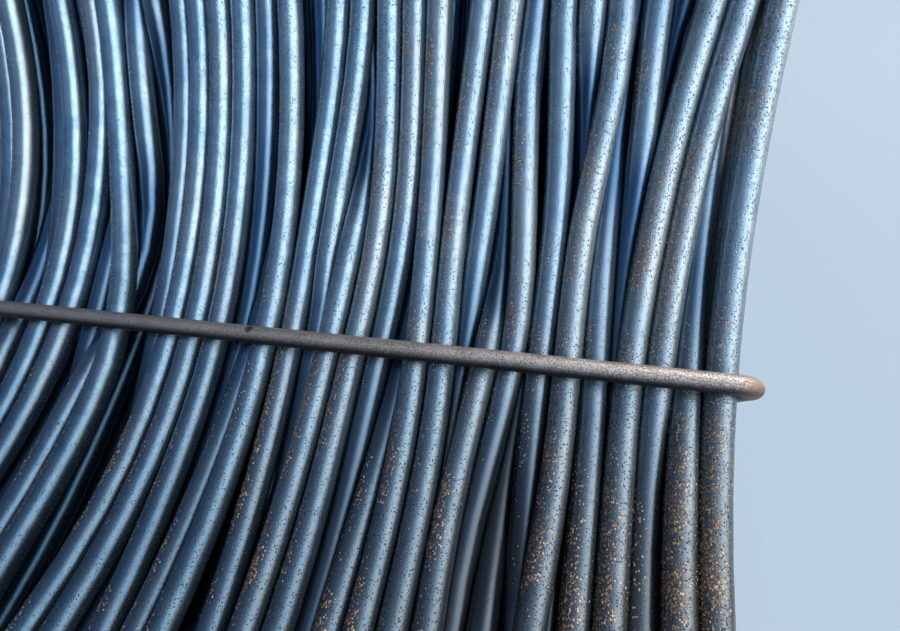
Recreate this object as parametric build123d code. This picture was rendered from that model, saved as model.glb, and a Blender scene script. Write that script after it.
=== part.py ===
"""A coil of hot-rolled steel wire rod, laid in turns round an open eye and held by four ties.

The coil lies on its side. Its axis is X, and the origin is on the floor under its middle.
Each tie is a thinner rod that runs along the eye, over one end, along the outside and over the other end.
Its two ends are twisted round each other on the outside, half way along the coil.
Sizes are in millimetres and degrees.
"""
import os
from math import acos, atan2, cos, pi, radians, sin, sqrt, tan

from build123d import *

# The rod and the coil that it is laid in
rod_dia = 16.0
eye_dia = 850.0
coil_dia = 1250.0
coil_length = 1000.0
turn_gap = 0.7        # the least gap between two turns
turn_sides = 8        # each turn shows three sides of this many

# The ties
tie_dia = 11.0
tie_count = 4
first_tie_angle = 45.0    # from the foot of the coil, round its axis
seat_gap = 0.4            # between a tie and the turns that it holds
knot_turns = 1.5
knot_pitch = 54.0
knot_gap = 0.3            # between the two twisted ends
knot_bend = 30.0          # the radius of the bends that lead into the knot
knot_tail = 16.0          # how far each cut end stands out of the knot

# Worked out from the sizes above. Here the coil's axis is Z and its middle is at the origin.
rod_r = rod_dia / 2
tie_r = tie_dia / 2
eye_r = eye_dia / 2
coil_r = coil_dia / 2
wall = coil_r - eye_r
coil_end = coil_length / 2

seat = seat_gap + tie_r            # from a face of the coil to the middle of a tie
tie_inner = eye_r - seat
tie_outer = coil_r + seat
tie_end = coil_end + seat
tie_bend = rod_r + seat            # a tie goes snugly round the turn at each corner

knot_r = tie_r + knot_gap / 2      # of the circle that the twisted ends follow
knot_length = knot_turns * knot_pitch
knot_start = -knot_length / 2
lean = atan2(2 * pi * knot_r, knot_pitch)    # of a twisted end against the knot's axis
jog = acos((1 + cos(lean)) / 2)              # the sideways bend that lets it start in line with its loop
knot_lead = knot_bend * (sin(lean) + 2 * sin(jog))

# Where the coil lies: its axis along X, with its lowest turns on the floor
lying = Pos(0, 0, coil_r) * Rot(0, 90, 0)


def spaced_turns(length):
    """How many turns lie side by side over a length, and their spacing."""
    count = int((length - rod_dia) // (rod_dia + turn_gap)) + 1
    return count, (length - rod_dia) / (count - 1)


def groove(spacing):
    """The section of the groove between two turns, centred on their crests' line."""
    flat = rod_dia * tan(radians(180 / turn_sides))
    side = (spacing - flat) / sqrt(2)
    return Rot(0, 0, 45) * Rectangle(side, side)


def coil():
    """The laid rod as one turned solid with its eye. Its turns show on the ends, in the eye and outside."""
    turns_along, along = spaced_turns(coil_length)
    turns_across, across = spaced_turns(wall)
    section = RectangleRounded(wall, coil_length, rod_r)
    section -= GridLocations(wall, along, 2, turns_along - 1) * groove(along)
    section -= GridLocations(across, coil_length, turns_across - 1, 2) * groove(across)
    return revolve(Plane.XZ * Pos(eye_r + wall / 2, 0) * section, Axis.Z)


def half_tie_path():
    """The middle line of half a tie, from the middle of the eye round one end to its cut end."""
    with BuildLine(Plane.XZ) as loop:
        FilletPolyline(
            (tie_inner, 0),
            (tie_inner, -tie_end),
            (tie_outer, -tie_end),
            (tie_outer, knot_start - knot_lead),
            radius=tie_bend,
        )
    first_bend = Vector(tie_outer, knot_bend * (1 - cos(jog)), knot_start - knot_lead + knot_bend * sin(jog))
    with BuildLine() as lead:
        TangentArc(loop.line @ 1, first_bend, tangent=(0, 0, 1))
        TangentArc(first_bend, (tie_outer, 0, knot_start), tangent=(0, sin(jog), cos(jog)))
    twist = Pos(tie_outer + knot_r, 0, knot_start) * Rot(0, 0, 180) * Helix(knot_pitch, knot_length, knot_r)
    tail = Line(twist @ 1, twist @ 1 + (twist % 1) * knot_tail)
    return Wire([*loop.line.edges(), *lead.line.edges(), twist.edge(), tail.edge()])


def tie():
    """One tie: two halves of a rod that meet in the eye, with their cut ends twisted together outside."""
    path = half_tie_path()
    start = Plane(origin=path @ 0, z_dir=path % 0)
    half = sweep(start * Circle(tie_r), path=path)
    return half + Rot(180, 0, 0) * half


if __name__ == "__main__":
    os.makedirs("parts", exist_ok=True)
    export_step(lying * coil(), "parts/wire_rod_coil.step")
    one_tie = tie()
    print("tie volume", one_tie.volume, "of", 2 * half_tie_path().length * pi * tie_r**2)
    for number in range(tie_count):
        angle = first_tie_angle + number * 360 / tie_count
        export_step(lying * Rot(0, 0, angle) * one_tie, f"parts/tie_{number + 1}.step")
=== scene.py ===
"""Dress the coil of wire rod: its laid turns, its ties, their mill scale and rust, and a plain studio.

X runs along the coil's axis, Z is up, and the floor is at zero. Sizes are in metres.
"""
import math

import bpy
import numpy as np
from mathutils import Matrix, Vector


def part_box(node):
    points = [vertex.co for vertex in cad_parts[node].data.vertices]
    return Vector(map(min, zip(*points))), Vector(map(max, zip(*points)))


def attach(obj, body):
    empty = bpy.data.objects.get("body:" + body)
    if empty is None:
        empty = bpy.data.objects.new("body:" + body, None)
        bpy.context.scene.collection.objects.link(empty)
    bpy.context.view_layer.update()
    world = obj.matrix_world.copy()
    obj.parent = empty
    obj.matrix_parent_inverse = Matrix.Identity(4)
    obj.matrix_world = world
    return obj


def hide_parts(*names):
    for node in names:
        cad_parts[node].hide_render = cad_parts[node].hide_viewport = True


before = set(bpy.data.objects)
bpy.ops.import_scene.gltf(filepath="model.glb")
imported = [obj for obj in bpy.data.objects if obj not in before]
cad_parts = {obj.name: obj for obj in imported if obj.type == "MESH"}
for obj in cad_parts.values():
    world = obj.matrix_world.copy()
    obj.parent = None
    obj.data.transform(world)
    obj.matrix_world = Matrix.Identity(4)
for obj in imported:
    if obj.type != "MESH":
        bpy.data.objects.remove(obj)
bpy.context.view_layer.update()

# The coil, as the frame has it
coil_low, coil_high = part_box("wire_rod_coil")
coil_vertices = np.array([v.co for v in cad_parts["wire_rod_coil"].data.vertices])
coil_end = (coil_high.x - coil_low.x) / 2
coil_r = (coil_high.y - coil_low.y) / 2
axis_z = (coil_high.z + coil_low.z) / 2
eye_r = float(np.hypot(coil_vertices[:, 1], coil_vertices[:, 2] - axis_z).min())

TIE_COUNT = 4
TIE_ANGLE = -math.pi / 4      # of the tie that the camera sees, from Y towards Z

# The rod and how it is laid
ROD_DIAMETER = 0.016
ROD_R = ROD_DIAMETER / 2
TURNS = 384
STEPS = 96                    # points round one turn
TURN_SHIFT = 0.618            # how far round the coil the middle of each turn moves on, in turns
SWING = (0.88, 1.32)          # how far a turn reaches from wall to wall, in shares of the room
CROWDING = 0.045              # how far past each end the turns would reach if nothing pressed them back
END_WAVE = 0.015              # how far the end turns lean out and in between the ties
WANDER = 0.012                # how far a turn strays along the axis, before it is pressed to its place
STAND_OFF = 0.007             # how far a turn that reaches a wall may stop short of it
WANDER_STEPS = 30             # points of the rod from one such change to the next
REACH = 30                    # turns each way that a turn may touch
PRESSES = 170                 # times that the turns are pressed apart
PRESS_STRENGTH = 0.8          # share of an overlap that one press takes away
JOG = (1e-5, 0)               # parts turns that lie on one spot
BEND_STEPS = 2.5              # a press moves this many points of the rod each way
TINY = 1e-9                   # keeps a distance above zero
SEED = 7
STRETCHES = 5                 # pieces that the rod is made in
ROD_SIDES = 12


def smooth_along(field, spread):
    """Spread a push on one point of the rod over the points beside it."""
    reach = int(3 * spread)
    weights = np.exp(-0.5 * (np.arange(-reach, reach + 1) / spread) ** 2)
    weights /= weights.sum()
    padded = np.pad(field, ((reach, reach), (0, 0)), mode="edge")
    return sum(w * padded[i:i + len(field)] for i, w in enumerate(weights))


def press_apart(place, low, high):
    """Press turns that overlap apart, again and again, within the limits of each point's place."""
    for _ in range(PRESSES):
        push = np.zeros_like(place)
        for lag in range(STEPS, (REACH + 1) * STEPS, STEPS):
            apart = place[lag:] - place[:-lag] + JOG
            distance = np.hypot(apart[:, 0], apart[:, 1]) + TINY
            step = apart * (np.maximum(ROD_DIAMETER - distance, 0) / distance / 2)[:, None]
            push[lag:] += step
            push[:-lag] -= step
        place = np.clip(place + PRESS_STRENGTH * smooth_along(push, BEND_STEPS), low, high)
    return place


def lay_rod():
    """Each point of the laid rod: its place along the axis, its distance from it, its angle and its turn."""
    rng = np.random.default_rng(SEED)
    point = np.arange(TURNS * STEPS)
    turn = point / STEPS
    angle = 2 * np.pi * turn
    end_wave = END_WAVE * np.sin(TIE_COUNT / 2 * (angle - TIE_ANGLE))
    furthest = coil_end - ROD_R + end_wave
    knots = np.arange(0, len(turn) + WANDER_STEPS, WANDER_STEPS)
    stray = np.interp(point, knots, rng.normal(0, WANDER, len(knots)))
    stand_off = np.interp(point, knots, rng.uniform(0, STAND_OFF, len(knots)))
    low = np.stack([-furthest, eye_r + ROD_R + stand_off], 1)
    high = np.stack([furthest, coil_r - ROD_R - stand_off], 1)
    middle = (eye_r + coil_r) / 2
    room = coil_r - ROD_R - middle
    swing = np.interp(turn, np.arange(TURNS + 1), rng.uniform(*SWING, TURNS + 1)) * room
    out = middle + swing * np.cos(angle - 2 * np.pi * TURN_SHIFT * turn)
    from_middle = 2 * turn / TURNS - 1
    along = (coil_end + CROWDING + end_wave) * from_middle + stray
    place = press_apart(np.clip(np.stack([along, out], 1), low, high), low, high)
    return place[:, 0], place[:, 1], angle, turn


def points_of_rod():
    """The rod's middle line in the frame, with each point's turn and its depth under the coil's faces."""
    along, out, angle, turn = lay_rod()
    points = np.stack([along, out * np.cos(angle), axis_z + out * np.sin(angle)], 1)
    depth = np.minimum(np.minimum(out - eye_r, coil_r - out), coil_end - np.abs(along))
    return points, {"turn": turn, "depth": depth}


class Tree:
    """A node tree, with short ways to add nodes to it."""

    def __init__(self, tree):
        self.tree = tree

    def feed(self, node, values):
        """Give a node's sockets plain values, or links where a value changes over a surface."""
        for name, value in values.items():
            if isinstance(value, Value):
                value = value.socket
            if isinstance(value, bpy.types.NodeSocket):
                self.tree.links.new(value, node.inputs[name])
            else:
                node.inputs[name].default_value = value

    def node(self, kind, settings=None, values=None):
        """Add a node of a kind. Settings go on the node first, then values or links into its sockets."""
        made = self.tree.nodes.new(kind)
        for name, value in (settings or {}).items():
            setattr(made, name, value)
        self.feed(made, values or {})
        return made

    def value(self, kind, settings=None, values=None, output=0):
        """Add a node and take one of its outputs as a number for expressions."""
        return Value(self, self.node(kind, settings, values).outputs[output])

    def mix(self, share, first, second):
        """A colour between two others. A plain one is red, green and blue in linear light."""
        first, second = ((*colour, 1) if isinstance(colour, tuple) else colour for colour in (first, second))
        mixed = self.node("ShaderNodeMix", {"data_type": "RGBA"}, {0: share, 6: first, 7: second})
        return mixed.outputs[2]


class Value:
    """A number that changes over a surface. An expression on it adds Math nodes."""

    def __init__(self, tree, socket):
        self.tree = tree
        self.socket = socket

    def math(self, operation, *others):
        numbers = dict(enumerate((self, *others)))
        return self.tree.value("ShaderNodeMath", {"operation": operation}, numbers)

    def __add__(self, other):
        return self.math("ADD", other)

    __radd__ = __add__

    def __mul__(self, other):
        return self.math("MULTIPLY", other)

    __rmul__ = __mul__

    def __sub__(self, other):
        return self.math("SUBTRACT", other)

    def __rsub__(self, other):
        return self.tree.value("ShaderNodeMath", {"operation": "SUBTRACT"}, {0: other, 1: self})

    def ramp(self, low, high):
        """0 below low, 1 above high, and a smooth rise between. Low may be above high for a fall."""
        values = {"Value": self, "From Min": low, "From Max": high}
        return self.tree.value("ShaderNodeMapRange", {"interpolation_type": "SMOOTHSTEP"}, values)


def rod_tree():
    """A Geometry Nodes tree that sweeps a round rod along a chain of edges."""
    group = bpy.data.node_groups.new("sweep_rod", "GeometryNodeTree")
    for name, way, kind in (
        ("Line", "INPUT", "NodeSocketGeometry"),
        ("Rod Radius", "INPUT", "NodeSocketFloat"),
        ("Sides", "INPUT", "NodeSocketInt"),
        ("Finish", "INPUT", "NodeSocketMaterial"),
        ("Rod", "OUTPUT", "NodeSocketGeometry"),
    ):
        group.interface.new_socket(name, in_out=way, socket_type=kind)
    tree = Tree(group)
    given = tree.node("NodeGroupInput").outputs
    line = tree.node("GeometryNodeMeshToCurve", None, {"Mesh": given["Line"]})
    circle = tree.node(
        "GeometryNodeCurvePrimitiveCircle",
        {"mode": "RADIUS"},
        {"Resolution": given["Sides"], "Radius": given["Rod Radius"]},
    )
    swept = tree.node(
        "GeometryNodeCurveToMesh",
        None,
        {"Curve": line.outputs["Curve"], "Profile Curve": circle.outputs["Curve"], "Fill Caps": True},
    )
    round_rod = tree.node("GeometryNodeSetShadeSmooth", None, {"Geometry": swept.outputs["Mesh"]})
    real = tree.node("GeometryNodeRealizeInstances", None, {"Geometry": round_rod.outputs["Geometry"]})
    finished = tree.node(
        "GeometryNodeSetMaterial", None, {"Geometry": real.outputs["Geometry"], "Material": given["Finish"]}
    )
    tree.node("NodeGroupOutput", None, {"Rod": finished.outputs["Geometry"]})
    return group


def set_input(modifier, name, value):
    """Give a Geometry Nodes modifier's input a value, by the socket's name."""
    sockets = modifier.node_group.interface.items_tree
    identifier = next(s.identifier for s in sockets if s.name == name and s.in_out == "INPUT")
    modifier[identifier] = value


def sweep_stretch(name, points, carried, group, finish):
    """One stretch of the laid rod as a plain mesh."""
    line = bpy.data.meshes.new(name + "_line")
    line.from_pydata(points.tolist(), [(i, i + 1) for i in range(len(points) - 1)], [])
    for key, values in carried.items():
        line.attributes.new(key, "FLOAT", "POINT").data.foreach_set("value", values.astype(np.float32))
    piece = bpy.data.objects.new(name, line)
    bpy.context.scene.collection.objects.link(piece)
    modifier = piece.modifiers.new("sweep", "NODES")
    modifier.node_group = group
    set_input(modifier, "Rod Radius", ROD_R)
    set_input(modifier, "Sides", ROD_SIDES)
    set_input(modifier, "Finish", finish)
    made = bpy.data.meshes.new_from_object(piece.evaluated_get(bpy.context.evaluated_depsgraph_get()))
    piece.modifiers.remove(modifier)
    piece.data = made
    made.name = name
    return piece


def wire_rod(finish):
    """The laid rod, in stretches, in place of the plain turned solid."""
    points, carried = points_of_rod()
    group = rod_tree()
    cuts = np.linspace(0, len(points) - 1, STRETCHES + 1).astype(int)
    for number, (first, last) in enumerate(zip(cuts, cuts[1:]), 1):
        part = slice(first, last + 1)
        carried_part = {key: values[part] for key, values in carried.items()}
        piece = sweep_stretch(f"rod_turns_{number}", points[part], carried_part, group, finish)
        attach(piece, "root")
        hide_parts("wire_rod_coil")


def new_material(name):
    """An empty material, its tree, and the Principled shader that its output shows."""
    material = bpy.data.materials.new(name)
    material.use_nodes = True
    tree = Tree(material.node_tree)
    return material, tree, material.node_tree.nodes["Principled BSDF"]


def noise(tree, coordinates, scale, detail, roughness=0.5):
    """Soft noise over the surface, from about 0.25 to 0.75. Scale is in lumps to the metre."""
    values = {"Vector": coordinates, "Scale": scale, "Detail": detail, "Roughness": roughness}
    return tree.value("ShaderNodeTexNoise", None, values)


def dots(tree, coordinates, scale):
    """How far off the nearest of many dots is, in shares of their spacing, and its own number from 0 to 1.

    Scale is in dots to the metre.
    """
    cells = tree.node("ShaderNodeTexVoronoi", None, {"Vector": coordinates, "Scale": scale})
    own = tree.node("ShaderNodeSeparateColor", None, {"Color": cells.outputs["Color"]})
    return Value(tree, cells.outputs["Distance"]), Value(tree, own.outputs[0])


def attribute(tree, name):
    """A number that the mesh itself carries."""
    return tree.value("ShaderNodeAttribute", {"attribute_name": name}, None, "Fac")


def axes(tree, vector):
    """The three parts of a vector."""
    return [Value(tree, part) for part in tree.node("ShaderNodeSeparateXYZ", None, {0: vector}).outputs]


def set_finish(tree, shader, colour, metallic, roughness, relief, relief_depth):
    """Give a shader its colour, its gloss and a fine relief."""
    bumps = {"Height": relief, "Strength": 0.6, "Distance": relief_depth}
    normal = tree.node("ShaderNodeBump", None, bumps).outputs["Normal"]
    tree.feed(shader, {"Base Color": colour, "Metallic": metallic, "Roughness": roughness, "Normal": normal})


def rod_scale():
    """Blue-grey mill scale with black pits and specks of orange rust, fewer and smaller on the deeper turns.
    Painted shade darkens the deeper turns and the low parts of the coil.
    """
    material, tree, shader = new_material("rod_scale")

    # Where a point lies on the coil, mostly as shares from 0 to 1. Depth and height are in metres.
    place = tree.node("ShaderNodeTexCoord").outputs["Object"]
    x_along, _, height = axes(tree, place)
    x_facing = axes(tree, tree.node("ShaderNodeNewGeometry").outputs["Normal"])[0]
    depth = attribute(tree, "depth")
    on_top = depth.ramp(0.022, 0.010)
    to_mouth = x_along.ramp(-0.1, coil_end)
    by_mouth = x_along.ramp(0.12, coil_end)
    far_flank = x_facing.ramp(0.45, -0.55)
    low_down = height.ramp(0.42, 0.22)

    # What changes from spot to spot, and from turn to turn
    patches = noise(tree, place, 25, 3).ramp(0.38, 0.62)
    grain = noise(tree, place, 1900, 2, 0.6)
    mottle = noise(tree, place, 70, 3, 0.6)
    along_rod = {"W": attribute(tree, "turn") * 2.7}
    by_turn = tree.value("ShaderNodeTexNoise", {"noise_dimensions": "1D"}, along_rod)

    # Black pits, larger on the top turns and towards the near mouth
    pit_far, pit_own = dots(tree, place, 920)
    pit_size = (0.06 + 0.42 * pit_own) * (0.35 + 0.65 * on_top) * (0.5 + 0.5 * to_mouth)
    pits = (pit_size + 0.15 * (grain - 0.5) - pit_far).ramp(-0.04, 0.06)

    # Specks of rust in dark rims, thick on the far flanks, low down and by the near mouth
    stretched = tree.node("ShaderNodeVectorMath", {"operation": "MULTIPLY"}, {0: place, 1: (1, 0.7, 0.7)})
    speck_far, speck_own = dots(tree, stretched.outputs[0], 1120)
    rusty_turn = by_turn.ramp(0.44, 0.60)
    on_flank = far_flank * (0.42 + 0.25 * low_down + 0.34 * rusty_turn)
    where = on_flank + by_mouth * (0.20 + 0.16 * low_down)
    rusted = 0.02 + (0.3 + 0.7 * patches) * where
    speck_size = 0.50 * (rusted * (0.25 + 0.75 * on_top) + speck_own - 1.0).ramp(0.0, 0.45)
    past_edge = speck_size + 0.60 * (grain - 0.5) - speck_far
    rim = past_edge.ramp(-0.22, -0.02)
    rust = past_edge.ramp(-0.02, 0.08)

    # Colours: the clean scale, the painted shade on the deeper turns and low down, and what lies on the scale
    dark_scale, pale_scale = (0.145, 0.240, 0.325), (0.215, 0.318, 0.405)
    painted_shade_blue, painted_shade_black = (0.045, 0.095, 0.165), (0.008, 0.018, 0.036)
    painted_low_shade_blue, painted_low_shade_grey = (0.026, 0.056, 0.090), (0.062, 0.062, 0.059)
    dark_rust, pale_rust = (0.26, 0.145, 0.080), (0.55, 0.340, 0.200)
    grey_tint = (0.265, 0.290, 0.295)
    pit_black = (0.010, 0.011, 0.013)
    top = tree.mix(mottle.ramp(0.35, 0.65), dark_scale, pale_scale)
    # Painted shade: turns under the top ones are painted dark blue, and black further in, sooner low down
    painted_deep_shade = tree.mix((depth + 0.014 * low_down).ramp(0.024, 0.042), painted_shade_blue, painted_shade_black)
    scale_with_deep_shade = tree.mix(on_top, painted_deep_shade, top)
    tint = (by_turn.ramp(0.40, 0.70) * 0.5 + by_mouth * 0.3) * on_top
    tinted = tree.mix(tint, scale_with_deep_shade, grey_tint)
    # Painted shade: the colour darkens towards the bottom of the coil, greyer by the near mouth
    shaded_low_down = tree.mix(low_down * 0.85, tinted, tree.mix(by_mouth, painted_low_shade_blue, painted_low_shade_grey))
    black = (pits + rim * 0.9).math("MINIMUM", 1.0) * 0.85
    pitted = tree.mix(black, shaded_low_down, pit_black)
    colour = tree.mix(rust, pitted, tree.mix(speck_own.ramp(0.75, 1.0), dark_rust, pale_rust))

    powdery = (0.13 * to_mouth + 0.17 * by_mouth) * on_top * (1 - low_down)
    metallic = 0.90 - powdery - 0.60 * rust
    roughness = 0.08 + 0.07 * mottle + 0.05 * on_top + 0.25 * pits + 0.35 * rust + 0.10 * low_down
    set_finish(tree, shader, colour, metallic, roughness, grain - pits, 0.0002)
    return material


NICK_PLACE = (0.222, 0.295, 0.334)    # a small nick on the tie that the camera sees


def tie_scale():
    """Dull dark grey-brown scale with a fine grain, and a tan tint where a tie bends over the coil's ends.
    Painted light makes it lighter further into the eye, and painted shade darkens its underside.
    """
    material, tree, shader = new_material("tie_scale")
    place = tree.node("ShaderNodeTexCoord").outputs["Object"]
    x_along = axes(tree, place)[0]
    z_facing = axes(tree, tree.node("ShaderNodeNewGeometry").outputs["Normal"])[2]
    grain = noise(tree, place, 1500, 3, 0.65)
    mottle = noise(tree, place, 90, 3, 0.6)
    pit_far, pit_own = dots(tree, place, 800)
    pits = (0.20 + 0.20 * pit_own - pit_far).ramp(-0.05, 0.08)
    both_places = {0: place, 1: NICK_PLACE}
    off_nick = tree.value("ShaderNodeVectorMath", {"operation": "DISTANCE"}, both_places, "Value")
    nick_edge, nick_floor = 0.0034, 0.0016
    nick = off_nick.ramp(nick_edge, nick_floor)
    bend_start, bend_end = coil_end - 0.012, coil_end + 0.006
    at_bend = x_along.math("ABSOLUTE").ramp(bend_start, bend_end)

    dark_scale, pale_scale = (0.130, 0.102, 0.092), (0.200, 0.170, 0.160)
    # Painted light: a lighter scale colour for the tie deeper in the eye
    painted_light_scale = (0.34, 0.30, 0.28)
    bright_grain = (0.36, 0.34, 0.33)
    pit_black = (0.012, 0.010, 0.010)
    # Painted shade: near black for the tie's downward side
    painted_underside_shade = (0.012, 0.012, 0.016)
    tan = (0.24, 0.14, 0.08)
    scale = tree.mix(mottle.ramp(0.35, 0.65), dark_scale, pale_scale)
    # Painted light: the tie's scale is painted lighter from a little inside the near mouth on into the eye
    lit_deep_in_eye = tree.mix(x_along.ramp(0.36, 0.05) * 0.6, scale, painted_light_scale)
    grained = tree.mix(grain.ramp(0.45, 0.62), lit_deep_in_eye, bright_grain)
    pitted = tree.mix((pits * 0.65 + nick).math("MINIMUM", 1.0) * 0.8, grained, pit_black)
    # Painted shade: the tie's downward-facing side is painted near black
    underside_shaded = tree.mix(z_facing.ramp(0.85, -0.20) * 0.96, pitted, painted_underside_shade)
    colour = tree.mix(at_bend * 0.55, underside_shaded, tan)
    set_finish(tree, shader, colour, 0.7, 0.38 + 0.20 * mottle, grain - pits - nick * 3, 0.0003)
    return material


def pale_floor():
    """Plain matt pale concrete."""
    material, tree, shader = new_material("pale_floor")
    tree.feed(shader, {"Base Color": (0.215, 0.270, 0.320, 1), "Roughness": 0.85})
    return material


def ties(finish):
    """The four ties keep their shape from the frame and get their finish."""
    for number in range(1, TIE_COUNT + 1):
        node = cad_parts[f"tie_{number}"]
        node.data.materials.clear()
        node.data.materials.append(finish)


# The camera, worked out from how the turns and the tie lie in the photograph.
# In its own axes X is right, Y is down and Z is forward.
PHOTO_WIDTH = 900
FOCAL = 460                                     # in pixels of the photograph
AXIS_SEEN = Vector((0.979, 0.086, -0.184))      # the coil's axis, towards the near mouth
TO_AXIS = Vector((-0.0219, -0.0731, -0.1508))   # from the camera to the nearest point of the axis
TIE_SEEN = Vector((0.159, 0.237, 0.958))        # from the axis out to the tie
TIE_IN_FRAME = Vector((0, math.cos(TIE_ANGLE), math.sin(TIE_ANGLE)))
BACK_FROM_MOUTH = 0.108                         # how far inside the mouth the camera is


def camera():
    """A camera inside the eye, as the photograph was taken."""
    data = bpy.data.cameras.new("camera")
    data.sensor_width = 36
    data.lens = FOCAL / PHOTO_WIDTH * data.sensor_width
    data.clip_start = 0.01
    seen_x = AXIS_SEEN.normalized()
    seen_out = (TIE_SEEN - TIE_SEEN.dot(seen_x) * seen_x).normalized()
    seen = Matrix((seen_x, seen_out, seen_x.cross(seen_out)))
    real_x = Vector((1, 0, 0))
    real = Matrix((real_x, TIE_IN_FRAME, real_x.cross(TIE_IN_FRAME))).transposed()
    turn = real @ seen
    to_axis = TO_AXIS - TO_AXIS.dot(seen_x) * seen_x
    place = Vector((coil_high.x - BACK_FROM_MOUTH, 0, axis_z)) - turn @ to_axis
    blender_axes = Matrix(((1, 0, 0), (0, -1, 0), (0, 0, -1)))
    camera_object = bpy.data.objects.new("camera", data)
    camera_object.matrix_world = Matrix.Translation(place) @ (turn @ blender_axes).to_4x4()
    bpy.context.scene.collection.objects.link(camera_object)
    bpy.context.scene.camera = camera_object


def floor():
    """A plain pale floor. Far off it rises a little, so that the camera sees no horizon."""
    flat, reach, rise = 8, 45, 2.2
    sides, steps = 96, 8
    turns = [2 * math.pi * k / sides for k in range(sides)]
    shares = [k / steps for k in range(steps + 1)]
    rings = [(flat + share * (reach - flat), rise * share ** 2) for share in shares]
    corners = [(r * math.cos(a), r * math.sin(a), z) for r, z in rings for a in turns]
    faces = [tuple(range(sides))]
    for ring in range(steps):
        for k in range(sides):
            a, b = ring * sides + k, ring * sides + (k + 1) % sides
            faces.append((a, b, b + sides, a + sides))
    mesh = bpy.data.meshes.new("floor")
    mesh.from_pydata(corners, [], faces)
    mesh.materials.append(pale_floor())
    ground = bpy.data.objects.new("floor", mesh)
    bpy.context.scene.collection.objects.link(ground)


def lamp(name, kind, place, way, colour, settings):
    """A lamp whose light comes from the given way."""
    data = bpy.data.lights.new(name, kind)
    data.color = colour
    for key, value in settings.items():
        setattr(data, key, value)
    lamp_object = bpy.data.objects.new(name, data)
    lamp_object.location = place
    lamp_object.rotation_euler = Vector(way).to_track_quat("Z", "Y").to_euler()
    lamp_object.visible_camera = False
    bpy.context.scene.collection.objects.link(lamp_object)


BRIGHT_WAY = (0.74, -0.55, 0.42)    # where most of the light comes from, in front of the near mouth


def sky():
    """A white glow before the near mouth, dim and bluer behind. Seen itself, it is a plain pale backdrop."""
    world = bpy.data.worlds.new("studio")
    bpy.context.scene.world = world
    world.use_nodes = True
    tree = Tree(world.node_tree)
    direction = tree.node("ShaderNodeTexCoord").outputs["Generated"]
    to_mouth, _, up = axes(tree, direction)
    both_ways = {0: direction, 1: Vector(BRIGHT_WAY).normalized()}
    bright = tree.value("ShaderNodeVectorMath", {"operation": "DOT_PRODUCT"}, both_ways, "Value")
    side_blue, mouth_white = (0.30, 0.58, 0.95), (0.90, 0.95, 1.0)
    overhead_grey = (0.75, 0.82, 0.92)
    warm_ahead = (1.0, 0.88, 0.74)
    dim_behind = (0.36, 0.48, 0.80)
    plain_pale = (0.485, 0.610, 0.730)
    open_sky = tree.mix(to_mouth.ramp(0.15, 0.55), side_blue, mouth_white)
    overhead = tree.mix(up.ramp(0.60, 0.80), open_sky, overhead_grey)
    ahead = tree.mix(to_mouth.ramp(0.80, 0.95), overhead, warm_ahead)
    colour = tree.mix(to_mouth.ramp(0.1, -0.3), ahead, dim_behind)
    side_end = 1 - 0.8 * to_mouth.ramp(0.90, 0.98)
    strength = 0.50 + 0.70 * to_mouth.ramp(-0.2, 0.4) + 3.4 * bright.ramp(0.66, 0.95) * side_end
    seen = tree.value("ShaderNodeLightPath", None, None, "Is Camera Ray")
    backdrop = tree.mix(seen, colour, plain_pale)
    background = world.node_tree.nodes["Background"]
    tree.feed(background, {"Color": backdrop, "Strength": strength * (1 - seen) + seen})


def lights():
    """The sky, one soft sun and two soft boxes in the eye."""
    sky()
    sun = {"energy": 4.5, "angle": math.radians(25)}
    lamp("high_lamp", "SUN", (2, 1, 3), (0.55, 0.30, 0.78), (1, 0.96, 0.90), sun)
    for name, x, box_length, power, colour in (
        ("eye_lamp", -0.02, 0.90, 0.75, (0.40, 0.62, 0.95)),
        ("mouth_lamp", 0.27, 0.50, 1.3, (0.78, 0.89, 1.0)),
    ):
        box = {"energy": power, "shape": "RECTANGLE", "size": box_length, "size_y": 0.35}
        lamp(name, "AREA", (x, -0.2, axis_z + 0.32), (0, -0.53, 0.85), colour, box)
    bpy.context.scene.view_settings.view_transform = "Standard"
    bpy.context.scene.cycles.max_bounces = 5


wire_rod(rod_scale())
ties(tie_scale())
camera()
floor()
lights()
